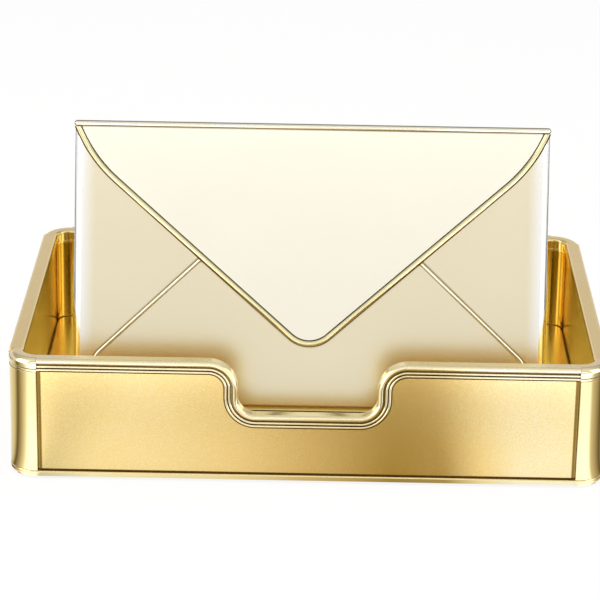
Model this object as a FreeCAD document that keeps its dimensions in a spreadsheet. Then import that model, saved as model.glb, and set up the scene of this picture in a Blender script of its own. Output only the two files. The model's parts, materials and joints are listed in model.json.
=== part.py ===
import FreeCAD, Part
import math
import os

import Sketcher
from FreeCAD import Placement, Rotation, Vector

# An open letter tray in polished metal with rounded corners and a finger notch in its front wall,
# and an envelope-shaped pocket that leans back in it, lifts out and has a hinged top flap.
# The tray's front faces -Y, the table is at Z = 0 and the origin is under the tray's middle.

# Driving dimensions, in millimetres and degrees
SIZES = (
    # Tray as a whole
    ("tray_width", 345.0),
    ("tray_depth", 236.0),
    ("tray_height", 74.0),
    ("corner_radius", 17.4),
    ("fit", 0.05),
    # Base rail, feet and floor
    ("foot_proud", 0.8),
    ("foot_seat", 1.2),
    ("foot_radius", 5.5),
    ("foot_inset", 20.0),
    ("base_height", 4.0),
    ("base_round", 2.6),
    ("base_top_round", 0.9),
    ("base_ledge", 28.0),
    ("base_opening_radius", 9.0),
    ("floor_top", 15.0),
    ("floor_sheet", 1.5),
    ("floor_fold_radius", 1.4),
    # Rim moulding, from its outer face inwards and from its top down
    ("rim_width", 8.8),
    ("rim_bar", 7.0),
    ("rim_round", 1.8),
    ("nose_height", 2.7),
    ("nose_round", 0.6),
    ("upper_quirk", 1.3),
    ("middle_quirk", 0.5),
    ("lower_quirk", 0.7),
    ("quirk_depth", 1.9),
    ("bead_recess", 0.3),
    ("bead_radius", 0.72),
    ("elbow_round", 3.6),
    ("elbow_height", 6.6),
    ("strip_recess", 0.6),
    ("elbow_under_round", 1.4),
    ("tongue_height", 4.0),
    # Skins and posts
    ("panel_recess", 1.2),
    ("panel_sheet", 1.5),
    ("shadow_gap", 1.2),
    ("liner_recess", 0.6),
    ("liner_sheet", 1.2),
    ("post_recess", 0.3),
    ("post_tongue", 6.0),
    ("post_edge_round", 0.5),
    # Finger notch, along the top of the rim
    ("notch_sill_length", 59.6),
    ("notch_sill_radius", 10.4),
    ("notch_shoulder_radius", 16.8),
    ("notch_upright", 5.2),
    # Screws
    ("post_screw_radius", 1.65),
    ("post_screw_length", 16.0),
    ("post_screw_clearance", 0.15),
    ("post_screw_sink", 1.6),
    ("rest_screw_radius", 1.5),
    ("rest_screw_head_radius", 3.0),
    ("rest_screw_head_height", 1.7),
    ("rest_screw_length", 5.0),
    ("rest_screw_spacing", 52.0),
    # Envelope rest
    ("rest_width", 190.0),
    ("rest_sheet", 1.5),
    ("rest_lip", 6.0),
    ("rest_back_height", 52.0),
    ("rest_tail", 20.0),
    ("seat_gap", 0.25),
    # Envelope pocket, in its own leaning frame
    ("lean_angle", 17.0),
    ("envelope_setback", 56.0),
    ("envelope_width", 281.4),
    ("envelope_length", 173.4),
    ("envelope_thickness", 12.0),
    ("envelope_sheet", 1.2),
    ("corner_relief", 0.4),
    ("back_return", 6.0),
    ("throat_side_drop", 3.0),
    ("throat_depth", 50.0),
    ("throat_nose_radius", 12.0),
    ("side_flap_meeting", 3.0),
    # Seams between the bottom flap and the side flaps
    ("seam_angle", 43.2),
    ("seam_apex_height", 153.6),
    ("seam_corner_radius", 16.0),
    ("seam_corner_inset", 6.2),
    ("seam_bead_radius", 1.1),
    ("bottom_flap_height", 104.0),
    # Top flap and its trims
    ("flap_gap", 0.25),
    ("flap_angle", 41.0),
    ("flap_tip_height", 43.4),
    ("flap_tip_radius", 17.0),
    ("flap_shoulder_half", 115.7),
    ("flap_shoulder_radius", 85.0),
    ("trim_radius", 2.1),
    ("roll_radius", 1.8),
    ("roll_overhang", 2.2),
    # Hinge
    ("hinge_width", 267.0),
    ("knuckle_radius", 2.5),
    ("pin_radius", 1.0),
    ("knuckle_gap", 0.3),
    ("hinge_swing_gap", 0.6),
    # One overrun for every cut that runs out of its piece
    ("overrun", 5.0),
)
FIXED_KNUCKLES = (0, 2, 4)
FLAP_KNUCKLES = (1, 3)
KNUCKLES = len(FIXED_KNUCKLES) + len(FLAP_KNUCKLES)
REST_SCREWS = 4
TOLERANCE = 1e-6

doc = FreeCAD.newDocument("EnvelopeLetterTray")
sheet = doc.addObject("Spreadsheet::Sheet", "Sizes")


# Sizes that carry both a value and the expression that gives it
class Size:
    """A length or angle: its value, and the expression on the sheet that it comes from."""

    def __init__(self, value, text):
        self.value = value
        self.text = text

    def __add__(self, other):
        return Size(self.value + other.value, f"({self.text} + {other.text})")

    def __sub__(self, other):
        return Size(self.value - other.value, f"({self.text} - {other.text})")

    def __mul__(self, factor):
        if isinstance(factor, Size):
            return Size(self.value * factor.value, f"({self.text} * {factor.text})")
        return Size(self.value * factor, f"({self.text} * {factor})")

    def __truediv__(self, other):
        if isinstance(other, Size):
            return Size(self.value / other.value, f"({self.text} / {other.text})")
        return Size(self.value / other, f"({self.text} / {other})")

    def __neg__(self):
        return Size(-self.value, f"(-{self.text})")

    def sin(self):
        return Size(math.sin(math.radians(self.value)), f"sin({self.text})")

    def cos(self):
        return Size(math.cos(math.radians(self.value)), f"cos({self.text})")

    def tan(self):
        return Size(math.tan(math.radians(self.value)), f"tan({self.text})")

    def root(self):
        return Size(math.sqrt(self.value), f"sqrt({self.text})")


class NamedSizes:
    """The sheet's cells as attributes: s.tray_width is the size in the cell of that name."""

    def __init__(self, rows):
        for number, (alias, value) in enumerate(rows, start=1):
            sheet.set(f"A{number}", alias)
            sheet.set(f"B{number}", str(value))
            sheet.setAlias(f"B{number}", alias)
            setattr(self, alias, Size(value, f"{sheet.Name}.{alias}"))


ZERO = Size(0.0, "0")
s = NamedSizes(SIZES)
doc.recompute()


# Helpers for bound objects, sketches and features
def bind(thing, path, size):
    """Tie one property of an object to a size."""
    if size is not ZERO:
        thing.setExpression(path, size.text)


def place(thing, x=ZERO, y=ZERO, z=ZERO, axis=Vector(0, 0, 1), angle=ZERO):
    """Put an object in its place, with each coordinate tied to its size."""
    thing.Placement = Placement(Vector(x.value, y.value, z.value), Rotation(axis, angle.value))
    bind(thing, "Placement.Base.x", x)
    bind(thing, "Placement.Base.y", y)
    bind(thing, "Placement.Base.z", z)
    bind(thing, "Placement.Rotation.Angle", angle)


def new_body(name):
    body = doc.addObject("PartDesign::Body", name)
    body.Label = name
    nodes.append(body)
    return body


def new_box(name, low, high):
    """A box between two corners, each corner three sizes."""
    box = doc.addObject("Part::Box", name)
    box.Label = name
    for prop, start, end in zip(("Length", "Width", "Height"), low, high):
        setattr(box, prop, (end - start).value)
        bind(box, prop, end - start)
    place(box, *low)
    nodes.append(box)
    return box


def origin_plane(body, plane):
    """The body's own XY, XZ or YZ plane."""
    for feature in body.Origin.OriginFeatures:
        if feature.Role == plane + "_Plane":
            return feature
    raise RuntimeError("no plane " + plane)


def new_sketch(body, plane, at=ZERO):
    """A sketch on a plane of the body, moved to a place along that plane's own axis."""
    sketch = body.newObject("Sketcher::SketchObject", body.Name + "Sketch")
    sketch.AttachmentSupport = [(origin_plane(body, plane), "")]
    sketch.MapMode = "FlatFace"
    offset = -at if plane == "XZ" else at
    sketch.AttachmentOffset = Placement(Vector(0, 0, offset.value), Rotation())
    if at is not ZERO:
        bind(sketch, "AttachmentOffset.Base.z", offset)
    return sketch


def hold(sketch, rows):
    """Add constraints (kind, geometry, point, size, name) and tie each to its size."""
    first = sketch.ConstraintCount
    sketch.addConstraint([Sketcher.Constraint(kind, geometry, point, size.value)
                          for kind, geometry, point, size, name in rows])
    for number, (kind, geometry, point, size, name) in enumerate(rows):
        sketch.renameConstraint(first + number, name)
        bind(sketch, "Constraints." + name, size)


def same_point(first, second):
    return all(abs(a.value - b.value) < TOLERANCE for a, b in zip(first, second))


def draw(sketch, start, steps, closed=True):
    """Draw lines (x, y) and arcs (x, y, centre x, centre y, turn) from corner to corner.

    A turn of 1 is anticlockwise. Every corner is held by its own two sizes, every arc by its centre."""
    corners = [start] + [step[:2] for step in steps]
    if closed and not same_point(corners[-1], start):
        steps = list(steps) + [start]
        corners.append(start)
    base = len(sketch.Geometry)
    ends = []
    rows = []
    for number, step in enumerate(steps):
        (x0, y0), (x1, y1) = corners[number], corners[number + 1]
        p0 = Vector(x0.value, y0.value, 0)
        p1 = Vector(x1.value, y1.value, 0)
        index = base + number
        if len(step) == 2:
            sketch.addGeometry(Part.LineSegment(p0, p1), False)
            ends.append((1, 2))
        else:
            cx, cy, turn = step[2:]
            centre = Vector(cx.value, cy.value, 0)
            circle = Part.Circle(centre, Vector(0, 0, 1), (p0 - centre).Length)
            a0 = math.atan2(p0.y - centre.y, p0.x - centre.x)
            a1 = math.atan2(p1.y - centre.y, p1.x - centre.x)
            low, high = (a0, a1) if turn > 0 else (a1, a0)
            high += 2 * math.pi if high <= low else 0
            sketch.addGeometry(Part.ArcOfCircle(circle, low, high), False)
            ends.append((1, 2) if turn > 0 else (2, 1))
            if abs(p1.x - p0.x) > abs(p1.y - p0.y):
                rows.append(("DistanceY", index, 3, cy, f"centre_{index}"))
            else:
                rows.append(("DistanceX", index, 3, cx, f"centre_{index}"))
        rows.append(("DistanceX", index, ends[-1][0], x0, f"x_{index}"))
        rows.append(("DistanceY", index, ends[-1][0], y0, f"y_{index}"))
    count = len(steps)
    joins = count if closed else count - 1
    sketch.addConstraint([Sketcher.Constraint("Coincident", base + k, ends[k][1],
                                              base + (k + 1) % count, ends[(k + 1) % count][0])
                          for k in range(joins)])
    if not closed:
        x1, y1 = corners[-1]
        rows.append(("DistanceX", base + count - 1, ends[-1][1], x1, f"x_{base + count}"))
        rows.append(("DistanceY", base + count - 1, ends[-1][1], y1, f"y_{base + count}"))
    hold(sketch, rows)


def draw_circle(sketch, x, y, radius):
    circle = Part.Circle(Vector(x.value, y.value, 0), Vector(0, 0, 1), radius.value)
    index = sketch.addGeometry(circle, False)
    hold(sketch, [("DistanceX", index, 3, x, f"x_{index}"), ("DistanceY", index, 3, y, f"y_{index}")])
    ring = sketch.addConstraint(Sketcher.Constraint("Radius", index, radius.value))
    sketch.renameConstraint(ring, f"radius_{index}")
    bind(sketch, f"Constraints.radius_{index}", radius)


def draw_rectangle(sketch, low, high):
    draw(sketch, low, [(high[0], low[1]), high, (low[0], high[1])])


def draw_rounded(sketch, half_x, half_y, radius):
    """A rounded rectangle about the sketch's origin."""
    x = half_x - radius
    y = half_y - radius
    draw(sketch, (-x, -half_y), [
        (x, -half_y),
        (half_x, -y, x, -y, 1),
        (half_x, y),
        (x, half_y, x, y, 1),
        (-x, half_y),
        (-half_x, y, -x, y, 1),
        (-half_x, -y),
        (-x, -half_y, -x, -y, 1),
    ])


def new_feature(body, kind, profile):
    feature = body.newObject("PartDesign::" + kind, body.Name + kind)
    feature.Profile = profile
    return feature


def pad(body, sketch, plane, length):
    """Grow a sketch towards the plus end of its plane's axis."""
    feature = new_feature(body, "Pad", sketch)
    feature.Length = length.value
    bind(feature, "Length", length)
    feature.Reversed = plane == "XZ"
    return feature


def pocket(body, sketch, plane, length):
    """Cut a sketch away towards the plus end of its plane's axis."""
    feature = new_feature(body, "Pocket", sketch)
    feature.Length = length.value
    bind(feature, "Length", length)
    feature.Reversed = plane != "XZ"
    return feature


def sweep(body, sketch, path):
    feature = new_feature(body, "AdditivePipe", sketch)
    feature.Spine = (path, [])
    return feature


def revolve(body, sketch, angle):
    """Turn a sketch about its own vertical axis."""
    feature = new_feature(body, "Revolution", sketch)
    feature.ReferenceAxis = (sketch, ["V_Axis"])
    feature.Angle = angle
    return feature


def dress(body, kind, prop, size, wanted):
    """Round or bevel those edges of the body that a test picks."""
    doc.recompute()
    base = body.Tip
    names = [f"Edge{number}" for number, edge in enumerate(base.Shape.Edges, start=1) if wanted(edge)]
    feature = body.newObject("PartDesign::" + kind, body.Name + kind)
    feature.Base = (base, names)
    setattr(feature, prop, size.value)
    bind(feature, prop, size)
    return feature


def at_height(z):
    """An edge test: the whole edge lies at one height."""
    def test(edge):
        box = edge.BoundBox
        return abs(box.ZMin - z.value) < TOLERANCE and abs(box.ZMax - z.value) < TOLERANCE
    return test


# Places that several pieces share
nodes = []
half_width = s.tray_width / 2
half_depth = s.tray_depth / 2
base_top = s.foot_proud + s.base_height
upper_bead = s.nose_height + s.upper_quirk
upper_bead_end = upper_bead + s.bead_radius * 2
lower_bead = upper_bead_end + s.middle_quirk
lower_bead_end = lower_bead + s.bead_radius * 2
moulding = lower_bead_end + s.lower_quirk
panel_inner = s.panel_recess + s.panel_sheet
liner_inner = s.rim_width - s.liner_recess
liner_outer = liner_inner - s.liner_sheet
tongue_outer = panel_inner + s.fit
tongue_inner = liner_outer - s.fit
post_inner = s.corner_radius - liner_inner
post_outer = s.corner_radius - s.post_recess
panel_top = s.tray_height - moulding
liner_top = s.tray_height - s.rim_bar
joint_x = half_width - s.corner_radius
joint_y = half_depth - s.corner_radius
tongue_x = joint_x - s.post_tongue - s.fit
tongue_y = joint_y - s.post_tongue - s.fit
sill_half = s.notch_sill_length / 2
shoulder_half = sill_half + s.notch_sill_radius + s.notch_shoulder_radius
notch_drop = s.notch_shoulder_radius + s.notch_upright + s.notch_sill_radius
CORNERS = (
    ("front_left", -1, -1, 0),
    ("front_right", 1, -1, 90),
    ("rear_right", 1, 1, 180),
    ("rear_left", -1, 1, 270),
)


def at_corner(body, side_x, side_y, turn):
    """Stand a corner piece, drawn for the front left, on the centre of its own corner's curve."""
    body.Placement = Placement(Vector(side_x * joint_x.value, side_y * joint_y.value, 0),
                               Rotation(Vector(0, 0, 1), turn))
    bind(body, "Placement.Base.x", joint_x * side_x)
    bind(body, "Placement.Base.y", joint_y * side_y)


# Base rail with its ledge, tongues, screw holes and foot seats
def post_screw_place():
    """How far a post's screw stands from the centre of the corner's curve, along X and along Y."""
    middle = (post_outer + post_inner) / 2
    return middle / math.sqrt(2)


def corner_points(inset):
    """The four places at one inset from the tray's sides."""
    return [((half_width - inset) * side_x, (half_depth - inset) * side_y)
            for name, side_x, side_y, turn in CORNERS]


def make_base_rail():
    body = new_body("base_rail")
    ring = new_sketch(body, "XY", s.foot_proud)
    draw_rounded(ring, half_width, half_depth, s.corner_radius)
    draw_rounded(ring, half_width - s.base_ledge, half_depth - s.base_ledge, s.base_opening_radius)
    pad(body, ring, "XY", s.base_height)

    def outside(edge):
        centre = edge.CenterOfMass
        margin = min(half_width.value - abs(centre.x), half_depth.value - abs(centre.y))
        return margin < s.base_ledge.value / 2

    low = at_height(s.foot_proud)
    high = at_height(base_top)
    dress(body, "Fillet", "Radius", s.base_round, lambda edge: low(edge) and outside(edge))
    dress(body, "Fillet", "Radius", s.base_top_round, lambda edge: high(edge) and outside(edge))
    tongues = new_sketch(body, "XY", base_top)
    for side in (-1, 1):
        inner = (half_depth - tongue_inner) * side
        outer = (half_depth - tongue_outer) * side
        draw_rectangle(tongues, (-tongue_x, inner), (tongue_x, outer))
        inner = (half_width - tongue_inner) * side
        outer = (half_width - tongue_outer) * side
        draw_rectangle(tongues, (inner, -tongue_y), (outer, tongue_y))
    pad(body, tongues, "XY", s.tongue_height)
    seats = new_sketch(body, "XY", ZERO)
    for x, y in corner_points(s.foot_inset):
        draw_circle(seats, x, y, s.foot_radius + s.fit)
    pocket(body, seats, "XY", s.foot_proud + s.foot_seat)
    holes = new_sketch(body, "XY", ZERO)
    for x, y in corner_points(s.corner_radius - post_screw_place()):
        draw_circle(holes, x, y, s.post_screw_radius + s.post_screw_clearance)
    pocket(body, holes, "XY", base_top + s.overrun)
    hole_radius = (s.post_screw_radius + s.post_screw_clearance).value

    def screw_edge(edge):
        round_edge = hasattr(edge.Curve, "Radius")
        return low(edge) and round_edge and abs(edge.Curve.Radius - hole_radius) < TOLERANCE

    dress(body, "Chamfer", "Size", s.post_screw_sink, screw_edge)


def make_feet():
    for number, (x, y) in enumerate(corner_points(s.foot_inset), start=1):
        foot = doc.addObject("Part::Cylinder", f"foot_{number}")
        foot.Label = foot.Name
        foot.Radius = s.foot_radius.value
        foot.Height = (s.foot_proud + s.foot_seat).value
        bind(foot, "Radius", s.foot_radius)
        bind(foot, "Height", s.foot_proud + s.foot_seat)
        place(foot, x, y)
        nodes.append(foot)


def make_floor():
    body = new_body("floor_panel")
    inset = liner_inner + s.fit
    radius = post_inner - s.fit
    block = new_sketch(body, "XY", base_top)
    draw_rounded(block, half_width - inset, half_depth - inset, radius)
    pad(body, block, "XY", s.floor_top - base_top)
    dress(body, "Fillet", "Radius", s.floor_fold_radius, at_height(s.floor_top))
    hollow = new_sketch(body, "XY", base_top)
    inset = inset + s.floor_sheet
    draw_rounded(hollow, half_width - inset, half_depth - inset, radius - s.floor_sheet)
    pocket(body, hollow, "XY", s.floor_top - base_top - s.floor_sheet)
    holes = new_sketch(body, "XY", base_top)
    for x in rest_screw_places():
        draw_circle(holes, x, rest_screw_y, s.rest_screw_radius)
    pocket(body, holes, "XY", s.floor_top - base_top + s.overrun)


# Corner posts, drawn for the front left about the centre of the corner's curve
def make_post(name, side_x, side_y, turn):
    body = new_body("corner_post_" + name)
    at_corner(body, side_x, side_y, turn)
    plan = new_sketch(body, "XY", base_top)
    tongue_far = s.corner_radius - tongue_outer
    tongue_near = s.corner_radius - tongue_inner
    draw(plan, (-post_outer, ZERO), [
        (ZERO, -post_outer, ZERO, ZERO, 1),
        (ZERO, -tongue_far),
        (s.post_tongue, -tongue_far),
        (s.post_tongue, -tongue_near),
        (ZERO, -tongue_near),
        (ZERO, -post_inner),
        (-post_inner, ZERO, ZERO, ZERO, -1),
        (-tongue_near, ZERO),
        (-tongue_near, s.post_tongue),
        (-tongue_far, s.post_tongue),
        (-tongue_far, ZERO),
    ])
    pad(body, plan, "XY", panel_top - base_top)
    hole = new_sketch(body, "XY", base_top)
    reach = -post_screw_place()
    draw_circle(hole, reach, reach, s.post_screw_radius)
    pocket(body, hole, "XY", s.post_screw_length - s.base_height + s.fit)

    def outer_upright(edge):
        box = edge.BoundBox
        across, along = sorted((abs(box.Center.x), abs(box.Center.y)))
        on_seam = across < TOLERANCE and abs(along - post_outer.value) < TOLERANCE
        return on_seam and box.ZLength > s.base_height.value

    dress(body, "Fillet", "Radius", s.post_edge_round, outer_upright)


def make_screw(name, x, y, z, outline):
    """A screw turned from a half outline of (radius, height) steps."""
    body = new_body(name)
    place(body, x, y, z)
    half = new_sketch(body, "XZ")
    draw(half, outline[0], outline[1:])
    revolve(body, half, 360)


def make_post_screws():
    inset = s.corner_radius - post_screw_place()
    head = s.post_screw_radius + s.post_screw_sink
    for number, (x, y) in enumerate(corner_points(inset), start=1):
        make_screw(f"post_screw_{number}", x, y, s.foot_proud, [
            (ZERO, ZERO),
            (head, ZERO),
            (s.post_screw_radius, s.post_screw_sink),
            (s.post_screw_radius, s.post_screw_length),
            (ZERO, s.post_screw_length),
        ])


# Outer skins and liners
def notch_steps(drop):
    """The notch's outline from its left shoulder to its right one, a drop below the top of the rim."""
    shoulder = s.notch_shoulder_radius - drop
    sill = s.notch_sill_radius + drop
    upright = sill_half + sill
    high = s.tray_height - s.notch_shoulder_radius
    low = high - s.notch_upright
    bottom = low - sill
    return [
        (-upright, high, -shoulder_half, high, -1),
        (-upright, low),
        (-sill_half, bottom, -sill_half, low, 1),
        (sill_half, bottom),
        (upright, low, sill_half, low, 1),
        (upright, high),
        (shoulder_half, high + shoulder, shoulder_half, high, -1),
    ]


def make_front_skin(name, drop, depth, thickness, gap):
    body = new_body(name)
    top = s.tray_height - drop
    low = base_top + gap
    end = joint_x - gap
    face = new_sketch(body, "XZ", depth - half_depth)
    draw(face, (-end, low), [(-end, top), (-shoulder_half, top)] + notch_steps(drop) + [
        (end, top),
        (end, low),
    ])
    pad(body, face, "XZ", thickness)


def make_skins():
    make_front_skin("front_panel", moulding, s.panel_recess, s.panel_sheet, s.shadow_gap)
    make_front_skin("front_liner", s.rim_bar, liner_outer, s.liner_sheet, ZERO)
    kinds = (
        ("panel", s.panel_recess, panel_inner, panel_top, s.shadow_gap),
        ("liner", liner_outer, liner_inner, liner_top, ZERO),
    )
    for kind, outer, inner, top, gap in kinds:
        x = joint_x - gap
        y = joint_y - gap
        z = base_top + gap
        new_box("left_" + kind, (outer - half_width, -y, z), (inner - half_width, y, top))
        new_box("right_" + kind, (half_width - inner, -y, z), (half_width - outer, y, top))
        new_box("rear_" + kind, (-x, half_depth - inner, z), (x, half_depth - outer, top))


# Rim moulding
def draw_moulding(sketch, face, outward, top, elbow=False, tongue=False):
    """The rim's section: face is its outer face, outward is 1 or -1 along the sketch's first axis.

    A straight length has a nose and two beads with quirks between, an elbow one smooth roll over a strip."""
    def at(depth, drop, *arc):
        point = (face - depth * outward, top - drop)
        if not arc:
            return point
        centre_depth, centre_drop, turn = arc
        return point + (face - centre_depth * outward, top - centre_drop, turn * outward)

    inner = s.rim_width
    back = liner_inner if elbow else tongue_inner
    lip = inner - s.liner_recess
    bead = s.bead_recess + s.bead_radius
    outer_round = s.elbow_round if elbow else s.rim_round
    nose_round = s.elbow_under_round if elbow else s.nose_round
    nose_height = s.elbow_height if elbow else s.nose_height
    start = at(outer_round, ZERO)
    steps = [
        at(inner - s.rim_round, ZERO),
        at(inner, s.rim_round, inner - s.rim_round, s.rim_round, 1),
        at(inner, s.rim_bar - s.liner_recess),
        at(lip, s.rim_bar, lip, s.rim_bar - s.liner_recess, 1),
    ]
    if not elbow:
        steps.append(at(back, s.rim_bar))
    if tongue:
        steps.append(at(back, moulding + s.tongue_height))
        steps.append(at(tongue_outer, moulding + s.tongue_height))
        steps.append(at(tongue_outer, moulding))
    else:
        steps.append(at(back, moulding))
    if elbow:
        steps.append(at(s.strip_recess, moulding))
        steps.append(at(s.strip_recess, nose_height))
    else:
        steps += [
            at(s.quirk_depth, moulding),
            at(s.quirk_depth, lower_bead_end),
            at(bead, lower_bead_end),
            at(bead, lower_bead, bead, lower_bead + s.bead_radius, 1),
            at(s.quirk_depth, lower_bead),
            at(s.quirk_depth, upper_bead_end),
            at(bead, upper_bead_end),
            at(bead, upper_bead, bead, upper_bead + s.bead_radius, 1),
            at(s.quirk_depth, upper_bead),
            at(s.quirk_depth, nose_height),
        ]
    steps += [
        at(nose_round, nose_height),
        at(ZERO, nose_height - nose_round, nose_round, nose_height - nose_round, 1),
        at(ZERO, outer_round),
        at(outer_round, ZERO, outer_round, outer_round, 1),
    ]
    steps[-1] = start + steps[-1][2:]
    draw(sketch, start, steps)


def make_straight_rim(name, plane, face, outward, span, tongue_span):
    """A straight length of rim, with a shorter tongue that stops clear of the posts' tongues."""
    body = new_body(name)
    start, end = span
    section = new_sketch(body, plane, start)
    draw_moulding(section, face, outward, s.tray_height)
    pad(body, section, plane, end - start)
    start, end = tongue_span
    tongue = new_sketch(body, plane, start)
    inner = face - tongue_inner * outward
    outer = face - tongue_outer * outward
    draw_rectangle(tongue, (inner, panel_top - s.tongue_height), (outer, panel_top))
    pad(body, tongue, plane, end - start)


def make_notch_bend(name, side):
    """The S bend of the rim from the top of the front wall down to the notch's sill."""
    body = new_body(name)
    high = s.tray_height - s.notch_shoulder_radius
    low = high - s.notch_upright
    upright = (sill_half + s.notch_sill_radius) * side
    shoulder = shoulder_half * side
    path = new_sketch(body, "XZ", -half_depth)
    draw(path, (shoulder, s.tray_height), [
        (upright, high, shoulder, high, side),
        (upright, low),
        (sill_half * side, low - s.notch_sill_radius, sill_half * side, low, -side),
    ], closed=False)
    section = new_sketch(body, "YZ", shoulder)
    draw_moulding(section, -half_depth, -1, s.tray_height, tongue=True)
    sweep(body, section, path)


def make_rim():
    make_straight_rim("rim_rear", "YZ", half_depth, 1, (-joint_x, joint_x), (-tongue_x, tongue_x))
    make_straight_rim("rim_left", "XZ", -half_width, -1, (-joint_y, joint_y), (-tongue_y, tongue_y))
    make_straight_rim("rim_right", "XZ", half_width, 1, (-joint_y, joint_y), (-tongue_y, tongue_y))
    make_straight_rim("rim_front_left", "YZ", -half_depth, -1,
                      (-joint_x, -shoulder_half), (-tongue_x, -shoulder_half))
    make_straight_rim("rim_front_right", "YZ", -half_depth, -1,
                      (shoulder_half, joint_x), (shoulder_half, tongue_x))
    make_notch_bend("notch_bend_left", -1)
    make_notch_bend("notch_bend_right", 1)
    sill = new_body("notch_sill")
    section = new_sketch(sill, "YZ", -sill_half)
    draw_moulding(section, -half_depth, -1, s.tray_height - notch_drop, tongue=True)
    pad(sill, section, "YZ", s.notch_sill_length)
    for name, side_x, side_y, turn in CORNERS:
        corner = new_body("rim_corner_" + name)
        at_corner(corner, side_x, side_y, turn)
        section = new_sketch(corner, "XZ")
        draw_moulding(section, -s.corner_radius, -1, s.tray_height, elbow=True)
        revolve(corner, section, 90)


# Envelope pocket: its own frame has Y from its front face to its back and Z up its slope
front_half = s.envelope_width / 2
roll_side = s.envelope_thickness / 2
roll_bottom = (s.envelope_thickness + s.envelope_sheet) / 2
side_roll_x = front_half - roll_side
back_half = side_roll_x - s.back_return
back_front = s.envelope_thickness - s.envelope_sheet
bottom_roll_y = s.envelope_thickness - roll_bottom
bottom_half = side_roll_x - s.corner_relief / 2
relief_height = roll_bottom + s.corner_relief
hinge_z = s.envelope_length - s.knuckle_radius
hinge_y = s.envelope_thickness - s.knuckle_radius
strip_low = s.envelope_length - s.envelope_sheet
side_top = strip_low - s.knuckle_gap
envelope_y = s.envelope_setback - half_depth
envelope_z = (s.floor_top + s.rest_sheet + s.seat_gap + roll_bottom + bottom_roll_y * s.lean_angle.sin()
              - roll_bottom * s.lean_angle.cos())


def lean_back(thing):
    """Stand an envelope piece in the tray, leaning back on its rest."""
    place(thing, ZERO, envelope_y, envelope_z, Vector(1, 0, 0), -s.lean_angle)


def on_lean(depth, height):
    """How far back the envelope's plane at one depth lies, at a height above the table."""
    return envelope_y + depth / s.lean_angle.cos() + (height - envelope_z) * s.lean_angle.tan()


rest_back_front = s.envelope_thickness + s.seat_gap
rest_foot_top = s.floor_top + s.rest_sheet
rest_lip_back = (envelope_y + bottom_roll_y * s.lean_angle.cos() + roll_bottom * s.lean_angle.sin()
                 - roll_bottom - s.seat_gap)
rest_screw_y = on_lean(rest_back_front + s.rest_sheet, s.floor_top) + s.rest_tail / 2


def rest_screw_places():
    return [s.rest_screw_spacing * (number - (REST_SCREWS - 1) / 2) for number in range(REST_SCREWS)]


def make_envelope_rest():
    """A folded bracket: a front lip, a foot on the floor and a back plate at the envelope's lean."""
    body = new_body("envelope_rest")
    lip_front = rest_lip_back - s.rest_sheet
    lip_top = s.floor_top + s.rest_lip
    back_rear = rest_back_front + s.rest_sheet
    top_front = (envelope_y + rest_back_front * s.lean_angle.cos() + s.rest_back_height * s.lean_angle.sin(),
                 envelope_z - rest_back_front * s.lean_angle.sin() + s.rest_back_height * s.lean_angle.cos())
    top_rear = (envelope_y + back_rear * s.lean_angle.cos() + s.rest_back_height * s.lean_angle.sin(),
                envelope_z - back_rear * s.lean_angle.sin() + s.rest_back_height * s.lean_angle.cos())
    tail = on_lean(back_rear, s.floor_top) + s.rest_tail
    section = new_sketch(body, "YZ", -s.rest_width / 2)
    draw(section, (lip_front, s.floor_top), [
        (lip_front, lip_top),
        (rest_lip_back, lip_top),
        (rest_lip_back, rest_foot_top),
        (on_lean(rest_back_front, rest_foot_top), rest_foot_top),
        top_front,
        top_rear,
        (on_lean(back_rear, rest_foot_top), rest_foot_top),
        (tail, rest_foot_top),
        (tail, s.floor_top),
    ])
    pad(body, section, "YZ", s.rest_width)
    holes = new_sketch(body, "XY", s.floor_top)
    for x in rest_screw_places():
        draw_circle(holes, x, rest_screw_y, s.rest_screw_radius)
    pocket(body, holes, "XY", s.rest_sheet)
    for number, x in enumerate(rest_screw_places(), start=1):
        rim = s.rest_screw_head_radius
        rounding = s.rest_screw_head_height / 2
        make_screw(f"rest_screw_{number}", x, rest_screw_y, rest_foot_top, [
            (ZERO, -s.rest_screw_length),
            (s.rest_screw_radius, -s.rest_screw_length),
            (s.rest_screw_radius, ZERO),
            (rim, ZERO),
            (rim, rounding),
            (rim - rounding, rounding * 2, rim - rounding, rounding, 1),
            (ZERO, rounding * 2),
        ])


def knuckle_span(number):
    """Where one knuckle starts along the hinge, and its length."""
    pitch = s.hinge_width / KNUCKLES
    return pitch * number - s.hinge_width / 2 + s.knuckle_gap / 2, pitch - s.knuckle_gap


def add_knuckles(body, numbers, bore):
    for number in numbers:
        start, length = knuckle_span(number)
        ring = new_sketch(body, "YZ", start)
        draw_circle(ring, hinge_y, hinge_z, s.knuckle_radius)
        draw_circle(ring, hinge_y, hinge_z, bore)
        pad(body, ring, "YZ", length)


def make_envelope_back():
    """The back plate: its top edge is cut away behind the flap's knuckles and carries the fixed ones."""
    body = new_body("envelope_back")
    lean_back(body)
    low = roll_bottom + s.back_return
    shelf = hinge_z - s.knuckle_radius - s.hinge_swing_gap
    hinge_half = s.hinge_width / 2
    steps = [(back_half, low), (back_half, shelf), (hinge_half, shelf), (hinge_half, hinge_z)]
    for number in reversed(FLAP_KNUCKLES):
        start, length = knuckle_span(number)
        right = start + length + s.knuckle_gap
        left = start - s.knuckle_gap
        steps += [(right, hinge_z), (right, shelf), (left, shelf), (left, hinge_z)]
    steps += [(-hinge_half, hinge_z), (-hinge_half, shelf), (-back_half, shelf)]
    face = new_sketch(body, "XZ", back_front)
    draw(face, (-back_half, low), steps)
    pad(body, face, "XZ", s.envelope_sheet)
    add_knuckles(body, FIXED_KNUCKLES, s.pin_radius)


def seam_height(across):
    """The seam's straight line: its height at a distance from the envelope's middle."""
    return s.seam_apex_height - across * s.seam_angle.tan()


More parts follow.
